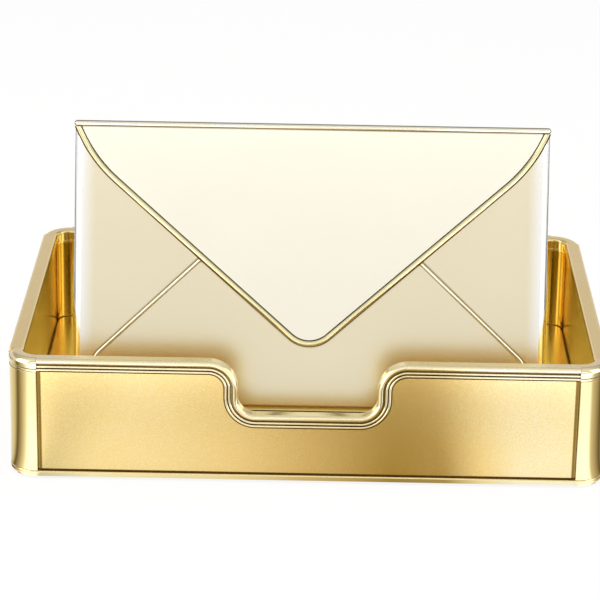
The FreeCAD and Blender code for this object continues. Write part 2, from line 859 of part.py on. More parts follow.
def make_side_flap(name, side):
    """A side flap with its rolled edge: front leg, half-round side and a return behind."""
    body = new_body(name)
    lean_back(body)
    shoulder = side_top - s.throat_side_drop
    throat = shoulder - s.throat_depth
    nose = s.throat_nose_radius
    nose_x = (s.side_flap_meeting + nose) * side
    low = relief_height
    x = side_roll_x * side
    front = new_sketch(body, "XZ")
    draw(front, (x, low), [
        (nose_x, throat - nose * 2),
        (nose_x, throat, nose_x, throat - nose, -side),
        (x, shoulder),
    ])
    pad(body, front, "XZ", s.envelope_sheet)
    edge = new_sketch(body, "XY", low)
    inner_roll = roll_side - s.envelope_sheet
    draw(edge, (x, ZERO), [
        (x, s.envelope_thickness, x, roll_side, side),
        (x, back_front),
        (x, s.envelope_sheet, x, roll_side, -side),
    ])
    pad(body, edge, "XY", side_top - low)
    behind = new_sketch(body, "XZ", back_front)
    shelf = hinge_z - s.knuckle_radius - s.hinge_swing_gap
    draw_rectangle(behind, (back_half * side, low + s.back_return), (x, shelf - s.fit))
    pad(body, behind, "XZ", s.envelope_sheet)


def seam_path():
    """The right-hand seam's bottom corner: its side, its curve's centre and the curve's upper end."""
    corner_x = side_roll_x + s.corner_relief - s.seam_corner_inset
    radius = s.seam_corner_radius
    centre_x = corner_x - radius
    tangent_x = centre_x + radius * s.seam_angle.sin()
    tangent_z = seam_height(tangent_x)
    centre_z = tangent_z - radius * s.seam_angle.cos()
    return corner_x, centre_x, centre_z, tangent_x, tangent_z


def make_bottom_flap():
    """The bottom flap: a front leg with slanting edges, a half-round bottom and a return behind."""
    body = new_body("bottom_flap")
    lean_back(body)
    corner_x, centre_x, centre_z = seam_path()[:3]
    reach = s.seam_bead_radius
    edge_x = corner_x - reach
    inner_radius = s.seam_corner_radius - reach
    slide = inner_radius * s.seam_angle.sin()
    rise = inner_radius * s.seam_angle.cos()
    edge_apex = s.seam_apex_height - s.seam_bead_radius / s.seam_angle.cos()
    top = s.bottom_flap_height
    top_x = (edge_apex - top) / s.seam_angle.tan()
    front = new_sketch(body, "XZ", -s.envelope_sheet)
    draw(front, (-edge_x, roll_bottom), [
        (edge_x, roll_bottom),
        (edge_x, centre_z),
        (centre_x + slide, centre_z + rise, centre_x, centre_z, 1),
        (top_x, top),
        (-top_x, top),
        (-centre_x - slide, centre_z + rise),
        (-edge_x, centre_z, -centre_x, centre_z, 1),
    ])
    pad(body, front, "XZ", s.envelope_sheet)
    fold = new_sketch(body, "YZ", -edge_x)
    draw(fold, (-s.envelope_sheet, roll_bottom), [
        (s.envelope_thickness, roll_bottom, bottom_roll_y, roll_bottom, 1),
        (back_front, roll_bottom),
        (ZERO, roll_bottom, bottom_roll_y, roll_bottom, -1),
    ])
    pad(body, fold, "YZ", edge_x * 2)
    behind = new_sketch(body, "XZ", back_front)
    draw_rectangle(behind, (-back_half, roll_bottom), (back_half, roll_bottom + s.back_return))
    pad(body, behind, "XZ", s.envelope_sheet)


def make_seam_bead(name, side):
    body = new_body(name)
    lean_back(body)
    low = relief_height
    corner_x, centre_x, centre_z, tangent_x, tangent_z = seam_path()
    end_z = s.bottom_flap_height
    end_x = (s.seam_apex_height - end_z) / s.seam_angle.tan()
    path = new_sketch(body, "XZ", -s.seam_bead_radius)
    draw(path, (corner_x * side, low), [
        (corner_x * side, centre_z),
        (tangent_x * side, tangent_z, centre_x * side, centre_z, side),
        (end_x * side, end_z),
    ], closed=False)
    section = new_sketch(body, "XY", low)
    draw_circle(section, corner_x * side, -s.seam_bead_radius, s.seam_bead_radius)
    sweep(body, section, path)


# Top flap, drawn closed, with its V-shaped trim, its top roll and its hinge
flap_back = -(s.seam_bead_radius * 2 + s.flap_gap)
flap_front = flap_back - s.envelope_sheet
roll_z = s.envelope_length - s.roll_radius
trim_end = roll_z - s.roll_radius - s.fit


def flap_edge(inset):
    """Places along the flap's V, an inset inside the middle of its trim.

    Gives the tip's and shoulder's radii, the two ends of the straight, the shoulder's centre and the end."""
    slope = s.flap_angle
    tip_centre = s.flap_tip_height + s.flap_tip_radius
    tip_radius = s.flap_tip_radius - inset
    start = (tip_radius * slope.sin(), tip_centre - tip_radius * slope.cos())
    line_x = s.flap_shoulder_half
    line_z = tip_centre - s.flap_tip_radius * slope.cos() + (
        (line_x - s.flap_tip_radius * slope.sin()) * slope.tan())
    shoulder_x = line_x - s.flap_shoulder_radius * slope.sin()
    shoulder_z = line_z + s.flap_shoulder_radius * slope.cos()
    shoulder_radius = s.flap_shoulder_radius - inset
    end = (shoulder_x + shoulder_radius * slope.sin(), shoulder_z - shoulder_radius * slope.cos())
    return tip_centre, tip_radius, start, end, shoulder_x, shoulder_z, shoulder_radius


def flap_edge_at(height, shoulder_x, shoulder_z, shoulder_radius):
    """How far out the shoulder's curve is at a height."""
    drop = shoulder_z - height
    return shoulder_x + (shoulder_radius * shoulder_radius - drop * drop).root()


def roll_half_length():
    """Half the length of the roll along the top fold, round ends included."""
    edges = flap_edge(ZERO)
    return flap_edge_at(trim_end, *edges[4:]) + s.roll_overhang


def make_top_flap():
    """The flap's triangular plate, the strip over the pocket's mouth and the knuckles on the pin."""
    body = new_body("top_flap")
    lean_back(body)
    tip_centre, tip_radius, start, end, centre_x, centre_z, radius = flap_edge(s.trim_radius)
    top_x = flap_edge_at(trim_end, centre_x, centre_z, radius)
    band = roll_half_length() - s.roll_radius
    plate = new_sketch(body, "XZ", flap_front)
    draw(plate, (-start[0], start[1]), [
        (start[0], start[1], ZERO, tip_centre, 1),
        end,
        (top_x, trim_end, centre_x, centre_z, 1),
        (band, trim_end),
        (band, s.envelope_length),
        (-band, s.envelope_length),
        (-band, trim_end),
        (-top_x, trim_end),
        (-end[0], end[1], -centre_x, centre_z, 1),
    ])
    pad(body, plate, "XZ", s.envelope_sheet)
    strip = new_sketch(body, "YZ", -band)
    strip_rear = hinge_y - s.knuckle_radius - s.knuckle_gap
    draw_rectangle(strip, (flap_back, strip_low), (strip_rear, s.envelope_length))
    pad(body, strip, "YZ", band * 2)
    for number in FLAP_KNUCKLES:
        tab_start, length = knuckle_span(number)
        tab = new_sketch(body, "YZ", tab_start)
        draw_rectangle(tab, (strip_rear, strip_low), (hinge_y, s.envelope_length))
        pad(body, tab, "YZ", length)
    add_knuckles(body, FLAP_KNUCKLES, s.pin_radius + s.fit)


def make_flap_trim():
    """The polished half-round bead along the V: swept past its ends, then cut level at the top."""
    body = new_body("flap_trim")
    lean_back(body)
    tip_centre, tip_radius, start, end, centre_x, centre_z, radius = flap_edge(ZERO)
    top = trim_end + s.trim_radius
    top_x = flap_edge_at(top, centre_x, centre_z, radius)
    tip = tip_centre - tip_radius
    for side in (-1, 1):
        path = new_sketch(body, "XZ", flap_back)
        draw(path, (ZERO, tip), [
            (start[0] * side, start[1], ZERO, tip_centre, side),
            (end[0] * side, end[1]),
            (top_x * side, top, centre_x * side, centre_z, side),
        ], closed=False)
        section = new_sketch(body, "YZ")
        draw(section, (flap_back, tip - s.trim_radius), [
            (flap_back, tip + s.trim_radius),
            (flap_back, tip - s.trim_radius, flap_back, tip, 1),
        ])
        sweep(body, section, path)
    ends = new_sketch(body, "XZ", flap_back - s.trim_radius - s.overrun)
    reach = front_half + s.overrun
    draw_rectangle(ends, (-reach, trim_end), (reach, s.envelope_length + s.overrun))
    pocket(body, ends, "XZ", s.trim_radius + s.overrun * 2)


def make_flap_roll():
    """The polished half-round roll along the flap's top fold, with round ends."""
    body = new_body("flap_top_bead")
    lean_back(body)
    end = roll_half_length()
    half = end - s.roll_radius
    section = new_sketch(body, "XZ", flap_front)
    draw(section, (-end, roll_z), [
        (end, roll_z),
        (half, roll_z + s.roll_radius, half, roll_z, 1),
        (-half, roll_z + s.roll_radius),
        (-end, roll_z, -half, roll_z, 1),
    ])
    feature = new_feature(body, "Revolution", section)
    feature.ReferenceAxis = (section, ["Edge1"])
    feature.Angle = 180


def make_hinge_pin():
    body = new_body("hinge_pin")
    lean_back(body)
    section = new_sketch(body, "YZ", -s.hinge_width / 2)
    draw_circle(section, hinge_y, hinge_z, s.pin_radius)
    pad(body, section, "YZ", s.hinge_width)


# Build every piece
make_base_rail()
make_feet()
make_floor()
for name, side_x, side_y, turn in CORNERS:
    make_post(name, side_x, side_y, turn)
make_post_screws()
make_skins()
make_rim()
make_envelope_rest()
make_envelope_back()
make_side_flap("left_side_flap", -1)
make_side_flap("right_side_flap", 1)
make_bottom_flap()
make_seam_bead("left_seam_bead", -1)
make_seam_bead("right_seam_bead", 1)
make_top_flap()
make_flap_trim()
make_flap_roll()
make_hinge_pin()
doc.recompute()


# Check everything before anything is written
def check_document():
    for thing in doc.Objects:
        if "Invalid" in thing.State or "Error" in thing.State:
            raise RuntimeError(f"{thing.Label} failed: {thing.State}")
        if thing.TypeId == "PartDesign::Pocket" and thing.Shape.Volume >= thing.BaseFeature.Shape.Volume:
            raise RuntimeError(f"{thing.Label} cuts nothing")
    for node in nodes:
        if node.Shape.isNull() or not node.Shape.isValid():
            raise RuntimeError(f"{node.Label} has no valid shape")
        if len(node.Shape.Solids) != 1:
            raise RuntimeError(f"{node.Label} has {len(node.Shape.Solids)} solids")


check_document()
os.makedirs("parts", exist_ok=True)
for node in nodes:
    node.Shape.exportStep(f"parts/{node.Label}.step")
print(len(nodes), "pieces written")
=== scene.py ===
import json
import math

import bpy
from bpy.props import FloatProperty, FloatVectorProperty, IntProperty, PointerProperty
from mathutils import Matrix, Vector


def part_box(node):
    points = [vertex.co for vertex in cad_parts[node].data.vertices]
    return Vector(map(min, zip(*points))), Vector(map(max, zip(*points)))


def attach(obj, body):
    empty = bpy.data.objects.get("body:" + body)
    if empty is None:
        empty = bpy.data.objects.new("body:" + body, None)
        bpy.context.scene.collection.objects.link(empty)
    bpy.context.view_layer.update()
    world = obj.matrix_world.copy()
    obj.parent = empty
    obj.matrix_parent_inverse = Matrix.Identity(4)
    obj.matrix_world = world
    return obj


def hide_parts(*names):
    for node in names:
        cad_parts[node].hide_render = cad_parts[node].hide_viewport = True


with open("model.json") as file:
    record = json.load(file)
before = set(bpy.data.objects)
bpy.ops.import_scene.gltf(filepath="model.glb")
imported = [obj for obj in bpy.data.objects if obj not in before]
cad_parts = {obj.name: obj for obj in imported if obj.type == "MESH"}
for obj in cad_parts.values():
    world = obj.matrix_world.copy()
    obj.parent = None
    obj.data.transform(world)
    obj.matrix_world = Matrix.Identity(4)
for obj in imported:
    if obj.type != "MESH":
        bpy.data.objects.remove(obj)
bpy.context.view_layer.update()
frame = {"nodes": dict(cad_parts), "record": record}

bl_info = {
    "name": "Envelope Letter Tray",
    "version": (1, 0, 0),
    "blender": (4, 5, 0),
    "location": "View3D > Sidebar > Letter Tray",
    "description": "Gives the CAD model of an envelope letter tray its finishes, fasteners, feet "
                   "and studio",
    "category": "Object",
}

NODES = frame["nodes"]
SLOT_OF = {row["node"]: row["material_slot"] for row in frame["record"]["subparts"]}

# Camera, fitted to the photograph's outlines: metres, degrees and millimetres
CAMERA_PLACE = (0.00241, -1.56507, 0.64814)
CAMERA_YAW = -0.3087
CAMERA_PITCH = 20.2975
CAMERA_ROLL = 0.9282
CAMERA_LENS = 164.31

# Centre of the curve of each corner of the tray, and its radius outside
CORNER_CENTRE = (0.1551, 0.1006)
CORNER_RADIUS = 0.0174

# The way the leaning envelope's front looks
ENVELOPE_LEAN = math.radians(17)
ENVELOPE_FACE = (0, -math.cos(ENVELOPE_LEAN), math.sin(ENVELOPE_LEAN))

# Where one tone gives way to another, in metres, as the two ends of a soft step: up to the rim's
# flat top, out from a corner's centre (painted shade in a post's hollow), back along a side liner
# (painted shade towards the rear), out to a side edge of the envelope pocket (painted light at the
# edge), and in from the end of an outer panel (painted shade at the end)
RIM_TOP = (0.07382, 0.07395)
POST_HOLLOW = (0.0125, 0.014)
LINER_REAR = (0.03, 0.09)
POCKET_SIDE = (0.127, 0.138)
PANEL_END = (0.0008, 0.0016)

# The same for painted shade on the flanks of a bead of the envelope pocket, by how squarely its
# surface faces the pocket's front
BEAD_FLANKS = (0.55, 0.95)

# Scene-linear tones: painted shade in liner joints, satin grain, painted light at pocket sides
LINER_JOINT_SHADE = (0.95, 0.78, 0.4)
BRIGHT_GRAIN = (1, 0.985, 0.93)
PAINTED_SIDE_LIGHT = (1, 0.985, 0.95)

# A bend sharper than this counts as an edge
SHARP = math.radians(35)

# Studio: the floor's height and how much of it is plain white to the camera and to gloss
FLOOR_HEIGHT = -0.0002
FLOOR_GLOW = 0.88

# Walls of the studio, as stops of a ramp from level or below (0) to straight up (1)
FRONT_WALL = [(0.0, 1.0), (0.36, 1.0), (0.56, 0.62), (0.7, 0.7), (0.83, 1.1), (1.0, 0.8)]
REAR_WALL_FOOT = [(0.0, (0.8, 0.76, 0.74)), (0.37, (0.96, 0.86, 0.82))]
REAR_WALL = [(0.45, 0.55), (0.56, 0.42), (0.8, 0.6), (1.0, 0.8)]

# Gloss card: its size and height, and where its strength changes, as the two ends of a soft step:
# out from the tray, ahead of the tray's middle, farther ahead, and out again behind the tray
CARD_SIZE = (1.8, 1.7, 0)
CARD_HEIGHT = 0.0005
CARD_EDGE = (CORNER_RADIUS, CORNER_RADIUS + 0.02)
CARD_AHEAD = (0.15, 0.26)
CARD_FAR_AHEAD = (0.285, 0.31)
CARD_OUTSIDE = (0.16, 0.22)
CARD_BEHIND = (0.04, -0.04)

# Tones of the gloss card: along the front wall from left (0) to right (1), and round each corner
# from ahead (0) over the side (0.5) to the rear (1)
PLAIN = (0.96, 0.98, 0.98)
COOL = (1.04, 1.11, 1.45)
HIGHLIGHT = (1.6, 1.65, 1.75)
BROWN = (0.5, 0.43, 0.3)
DARK = (0.12, 0.09, 0.03)
CARD_FRONT = [
    (0.0, (0.76, 0.78, 0.78)), (0.1, (1.08, 1.12, 1.18)), (0.2, (1.06, 1.08, 1.12)),
    (0.36, (0.95, 0.93, 0.88)), (0.5, (0.7, 0.6, 0.43)), (0.66, (0.4, 0.32, 0.13)),
    (0.76, (0.47, 0.38, 0.2)), (0.83, (1.02, 0.99, 0.9)), (0.9, (1.14, 1.28, 1.75)),
]
CARD_LEFT = [
    (0.0, PLAIN), (0.05, HIGHLIGHT), (0.2, HIGHLIGHT), (0.28, (0.9, 0.85, 0.7)), (0.36, BROWN),
    (0.46, DARK), (0.56, (0.7, 0.65, 0.5)), (0.8, PLAIN),
]
CARD_RIGHT = [
    (0.0, COOL), (0.08, HIGHLIGHT), (0.24, HIGHLIGHT), (0.3, (0.7, 0.65, 0.5)), (0.38, BROWN),
    (0.52, DARK), (0.8, PLAIN),
]


# Sizes and colours that a user would change
def linear(red, green, blue):
    """Scene-linear colour from the 0 to 255 values that a colour picker shows."""
    def channel(value):
        value = value / 255
        return value / 12.92 if value <= 0.04045 else ((value + 0.055) / 1.055) ** 2.4
    return tuple(channel(value) for value in (red, green, blue))


def colour_property(name, description, default):
    return FloatVectorProperty(name=name, description=description, default=default, min=0, max=1,
                               size=3, subtype="COLOR")


def gloss_property(name, description, default, low, high):
    return FloatProperty(name=name, description=description, default=default, min=low, max=high,
                         subtype="FACTOR")


def length_property(name, description, default, **limits):
    return FloatProperty(name=name, description=description, default=default, precision=4,
                         unit="LENGTH", subtype="DISTANCE", **limits)


def level_property(name, description, default):
    return FloatProperty(name=name, description=description, default=default, min=0)


class LetterTrayColours(bpy.types.PropertyGroup):
    """Colours of the finishes and of their painted shade and light, in scene-linear values"""
    polished: colour_property("Polished gold", "Rear and side rims, posts and base rail",
                              linear(246, 227, 172))
    # Painted light: a paler copy of the polished gold for the front rim
    front_rim: colour_property("Front rim gold", "Front rim with its bends and the sill",
                               linear(250, 237, 196))
    inner: colour_property("Inner gold", "Rear and side liners", linear(253, 226, 132))
    # Painted light: a lighter copy of the gold for the floor and the rest
    floor: colour_property("Floor gold", "Floor and the envelope's rest", linear(254, 244, 186))
    # Painted shade: a darker copy of the gold for the front liner and the posts' hollows
    shaded: colour_property("Shaded gold", "Front liner and the hollows of the posts",
                            linear(212, 170, 74))
    # Painted shade on the side liners towards the rear corners
    far: colour_property("Far gold", "Side liners near the rear corners", linear(186, 146, 74))
    # Painted shade on the flanks of the top bead
    bead_edge_shade: colour_property("Bead edges", "Tone of the top bead's two edges",
                               linear(150, 143, 122))
    # Painted shade on the seam beads' flanks and beside them
    seam_bead_shade: colour_property("Seam edges", "Tone of the seam beads' edges",
                               linear(176, 156, 92))
    satin: colour_property("Satin gold", "Recessed outer panels", linear(245, 219, 155))
    pale: colour_property("Pale gold", "Trim of the top flap", linear(243, 234, 188))
    bead: colour_property("Champagne bead", "Top bead and seam beads of the pocket",
                          linear(250, 245, 226))
    champagne: colour_property("Champagne", "Body of the envelope pocket", linear(241, 230, 200))
    flap: colour_property("Pale champagne", "Top flap of the envelope pocket",
                          linear(253, 248, 231))
    # Painted shade in the tray's grooves and joints
    painted_shade: colour_property("Recess tone", "Darker tone in the tray's grooves and joints",
                            linear(136, 106, 40))
    # Painted shade along the edges of the top flap and its beads
    seam: colour_property("Seam tone", "Darker tone along the edges of the top flap and its beads",
                          linear(130, 116, 66))
    # Painted shade on the trim's flanks and in the pocket's seams
    groove: colour_property("Groove tone", "Dark tone beside the trim and in the pocket's seams",
                            linear(108, 90, 38))
    graze: colour_property("Grazing tone", "What the trim and seam beads mirror at a flat angle",
                           linear(160, 136, 62))
    brass: colour_property("Brass", "Screws and hinge pin", linear(226, 192, 120))
    rubber: colour_property("Rubber", "Feet", linear(38, 37, 36))


class LetterTrayFinish(bpy.types.PropertyGroup):
    """Gloss and grain of the finishes"""
    polish_roughness: gloss_property("Polish roughness", "Roughness of the polished mouldings",
                                     0.13, 0.02, 0.6)
    satin_roughness: gloss_property("Satin roughness", "Roughness of the recessed panels",
                                    0.25, 0.1, 0.8)
    envelope_roughness: gloss_property("Envelope roughness", "Roughness of the pocket's sheets",
                                       0.25, 0.1, 0.8)
    # How far the painted shade reaches out of a groove
    painted_shade_reach: length_property("Recess reach", "How far the darker tone reaches out of a groove",
                                  0.0016, min=0.0, max=0.01)
    grain_size: length_property("Grain size", "Size of the satin finish's grain",
                                0.0009, min=0.0002, max=0.004)
    edge_round: length_property("Edge rounding", "How far the light rolls round a cut edge",
                                0.0003, min=0.0, max=0.001)


class LetterTraySizes(bpy.types.PropertyGroup):
    """Details that the CAD model leaves to the scene"""
    socket_width: length_property("Socket width",
                                  "Hexagon socket of the post screws, across flats", 0.0025)
    socket_depth: length_property("Socket depth", "Depth of the hexagon socket", 0.0013)
    cross_length: length_property("Cross length",
                                  "Cross recess of the rest's screws, tip to tip", 0.0036)
    cross_width: length_property("Cross width", "Width of one arm of the cross recess", 0.0008)
    foot_groove: length_property("Foot groove", "Depth of the ring groove under each foot", 0.0003)
    segments: IntProperty(name="Segments", description="Facets round each turned piece",
                          default=48, min=12, max=128)


class LetterTrayStudio(bpy.types.PropertyGroup):
    """Light and floor"""
    floor_colour: colour_property("Floor", "Plain pale floor", (0.94, 0.94, 0.93))
    front_level: level_property("Front light", "Radiance of the long front softbox", 1.4)
    top_level: level_property("Top light", "Radiance of the softbox overhead", 1.8)
    side_level: level_property("Side lights", "Radiance of the upright side softboxes", 1.5)
    wall_level: level_property("Walls", "Brightness of the studio's walls", 0.89)


# Shader maths
class Wire:
    """A node's output, which Python's operators turn into Math nodes."""

    def __init__(self, graph, socket):
        self.graph = graph
        self.socket = socket

    def __add__(self, other):
        return self.graph.maths("ADD", self, other)

    def __radd__(self, other):
        return self.graph.maths("ADD", other, self)

    def __sub__(self, other):
        return self.graph.maths("SUBTRACT", self, other)

    def __rsub__(self, other):
        return self.graph.maths("SUBTRACT", other, self)

    def __mul__(self, other):
        return self.graph.maths("MULTIPLY", self, other)

    def __rmul__(self, other):
        return self.graph.maths("MULTIPLY", other, self)


class Graph:
    """The nodes of one material or world."""

    def __init__(self, tree):
        self.tree = tree
        self.tree.nodes.clear()

    def node(self, kind, settings=None, inputs=None, output=0):
        """Add a node: its settings first, then the values or wires of its sockets."""
        made = self.tree.nodes.new(kind)
        for key, value in (settings or {}).items():
            if key == "stops":
                ramp = made.color_ramp.elements
                while len(ramp) < len(value):
                    ramp.new(1.0)
                for element, (place, colour) in zip(ramp, value):
                    element.position = place
                    element.color = tuple(colour) + (1,)
            else:
                setattr(made, key, value)
        for key, value in (inputs or {}).items():
            if isinstance(value, Wire):
                self.tree.links.new(value.socket, made.inputs[key])
            else:
                made.inputs[key].default_value = value
        return Wire(self, made.outputs[output])

    def close(self, kind, shader):
        """Join the last shader to the material's or world's output."""
        self.tree.links.new(shader.socket, self.tree.nodes.new(kind).inputs["Surface"])

    def maths(self, operation, first, second=0.0):
        return self.node("ShaderNodeMath", {"operation": operation}, {0: first, 1: second})

    def place(self, stretch=(1, 1, 1)):
        """Object coordinates, squeezed or stretched along each axis."""
        point = self.node("ShaderNodeTexCoord", output="Object")
        if stretch == (1, 1, 1):
            return point
        return self.node("ShaderNodeMapping", {}, {"Vector": point, "Scale": stretch})

    def axis(self, name):
        return self.node("ShaderNodeSeparateXYZ", {}, {"Vector": self.place()}, output=name)

    def from_middle(self, name):
        """Distance from the tray's middle along an axis, to either side."""
        return self.maths("ABSOLUTE", self.axis(name))

    def noise(self, scale, detail=2.0, stretch=(1, 1, 1)):
        return self.node("ShaderNodeTexNoise", {},
                         {"Vector": self.place(stretch), "Scale": scale, "Detail": detail})

    def step(self, value, low, high):
        """0 at low, 1 at high, smooth between them."""
        return self.node("ShaderNodeMapRange", {"interpolation_type": "SMOOTHSTEP"},
                         {"Value": value, "From Min": low, "From Max": high})

    def tint(self, factor, first, second):
        """A colour that goes from first to second."""
        return self.node("ShaderNodeMix", {"data_type": "RGBA"}, {0: factor, 6: first, 7: second},
                         output=2)

    def ramp(self, stops, factor):
        """A colour that follows a list of places and tones."""
        return self.node("ShaderNodeValToRGB", {"stops": stops}, {"Fac": factor})

    def painted_shade(self, reach):
        """Mask for painted shade, from ambient occlusion: 0 deep in a groove, 1 in the open."""
        return self.node("ShaderNodeAmbientOcclusion", {"samples": 8}, {"Distance": reach},
                         output="AO")

    def facing(self, direction):
        """1 where the surface faces a direction, 0 where it stands square to it, in the piece's
        own axes."""
        normal = self.node("ShaderNodeTexCoord", output="Normal")
        return self.node("ShaderNodeVectorMath", {"operation": "DOT_PRODUCT"},
                         {0: normal, 1: direction}, output="Value")

    def length(self, across, along):
        """Length of a level offset."""
        offset = self.node("ShaderNodeCombineXYZ", {}, {"X": across, "Y": along})
        return self.node("ShaderNodeVectorMath", {"operation": "LENGTH"}, {0: offset},
                         output="Value")


def swing(pattern, amount):
    """A pattern of 0 to 1, made to swing by half an amount either way."""
    return (pattern - 0.5) * amount


def opaque(colour, share=1.0):
    """A colour with its alpha, made darker or lighter by a share."""
    return (colour[0] * share, colour[1] * share, colour[2] * share, 1)


def deeper(colour, power):
    """The same metal seen deeper: each channel falls by a power, so it gets more saturated."""
    return (colour[0] ** power, colour[1] ** power, colour[2] ** power, 1)


def new_material(name):
    material = bpy.data.materials.new(name)
    material.use_nodes = True
    return material, Graph(material.node_tree)


def close_material(graph, base, roughness, height, strength, distance, edge, **constants):
    """Join a Principled shader whose normal has fine relief and, with an edge, soft cut edges."""
    relief = {"Height": height, "Strength": strength, "Distance": distance}
    if edge:
        relief["Normal"] = graph.node("ShaderNodeBevel", {"samples": 4}, {"Radius": edge})
    values = {"Base Color": base, "Roughness": roughness,
              "Normal": graph.node("ShaderNodeBump", {}, relief)}
    values.update(constants)
    shader = graph.node("ShaderNodeBsdfPrincipled", {}, values)
    graph.close("ShaderNodeOutputMaterial", shader)


def polished_metal(name, colour, painted_shade, roughness, finish, top_satin=False, flanks=None,
                   hollow=None, rear_shade_tone=None, graze=None):
    """Polished metal: faint clouds of tone, polishing marks, satin on the rim's flat top and
    painted shade in its grooves, with more painted shade in the hollow of each corner post, towards
    the rear or on the flanks of a bead of the envelope pocket.

    Graze is the tone that the metal mirrors at a flat angle."""
    material, graph = new_material(name)
    cloud = graph.noise(scale=28, detail=3)
    marks = graph.noise(scale=420, stretch=(1, 6, 6))
    fine = graph.noise(scale=2200)
    base = graph.tint(graph.step(cloud, 0.3, 0.7), opaque(colour), deeper(colour, 1.12))
    # Painted shade in the hollow of each corner post
    if hollow:
        outward = graph.length(graph.from_middle("X") - CORNER_CENTRE[0],
                               graph.from_middle("Y") - CORNER_CENTRE[1])
        base = graph.tint(graph.step(outward, *POST_HOLLOW), opaque(hollow), base)
    # Painted shade towards the rear of a side liner
    if rear_shade_tone:
        base = graph.tint(graph.step(graph.axis("Y"), *LINER_REAR), base, opaque(rear_shade_tone))
    # Painted shade on the flanks of a bead, where it turns from the pocket's front
    if flanks:
        on_front = graph.step(graph.facing(ENVELOPE_FACE), *BEAD_FLANKS)
        base = graph.tint(on_front, opaque(flanks), base)
    # Painted shade in grooves and joints, from ambient occlusion
    in_open = graph.step(graph.painted_shade(finish.painted_shade_reach), 0.45, 0.9)
    base = graph.tint(in_open, opaque(painted_shade), base)
    rough = roughness + swing(cloud, 0.06) + swing(marks, 0.05)
    if top_satin:
        on_top = graph.step(graph.axis("Z"), *RIM_TOP)
        rough = rough + on_top * (0.16 + swing(fine, 0.2))
    constants = {"Metallic": 1.0}
    if graze:
        constants["Specular Tint"] = opaque(graze)
    close_material(graph, base, rough, height=marks * 0.6 + fine * 0.4, strength=0.05,
                   distance=0.0002, edge=finish.edge_round, **constants)
    return material


def satin_metal(name, colour, painted_shade, roughness, finish, sparkle, depth, reach=1.0, open_at=0.85,
                painted_light_sides=False, ends=None):
    """Blasted and anodised sheet: fine grain, single bright grains, slow drifts of tone and painted
    shade in its grooves.

    With the sides option set, painted light lightens the tone towards the envelope pocket's two
    side edges. With ends, an axis and the sheet's half length, painted shade darkens it where the
    sheet runs into the shadow gap at each post."""
    material, graph = new_material(name)
    grain = finish.grain_size
    cloud = graph.noise(scale=16, detail=3)
    coarse = graph.noise(scale=1 / grain)
    speck = graph.noise(scale=1.2 / grain, detail=1)
    bright = graph.step(speck, 0.62, 0.78)
    tone = graph.step(cloud, 0.25, 0.75) * 0.4 + graph.step(coarse, 0.3, 0.7) * 0.6
    base = graph.tint(tone, deeper(colour, depth), opaque(colour))
    base = graph.tint(bright * sparkle, base, opaque(BRIGHT_GRAIN))
    # Painted light towards the envelope pocket's two side edges
    if painted_light_sides:
        base = graph.tint(graph.step(graph.from_middle("X"), *POCKET_SIDE), base,
                          opaque(PAINTED_SIDE_LIGHT))
    # Painted shade in grooves and joints, from ambient occlusion
    in_open = graph.step(graph.painted_shade(finish.painted_shade_reach * reach), 0.42, open_at)
    # Painted shade where an outer panel runs into the shadow gap at each post
    if ends:
        axis, half = ends
        in_open = in_open * graph.step(graph.from_middle(axis), half - PANEL_END[0],
                                       half - PANEL_END[1])
    base = graph.tint(in_open, opaque(painted_shade), base)
    rough = roughness + swing(cloud, 0.05) + swing(coarse, 0.2 * sparkle)
    close_material(graph, base, rough, height=coarse, strength=0.16 * sparkle,
                   distance=grain * 0.07, edge=finish.edge_round, Metallic=1.0)
    return material


def rubber_material(name, colour):
    material, graph = new_material(name)
    grain = graph.noise(scale=1800, detail=3)
    dust = graph.step(graph.noise(scale=140), 0.45, 0.8)
    base = graph.tint(dust, opaque(colour), opaque(colour, 1.5))
    close_material(graph, base, 0.62 + swing(grain, 0.2) + dust * 0.1, height=grain, strength=0.3,
                   distance=0.0001, edge=0.0, Metallic=0.0)
    return material


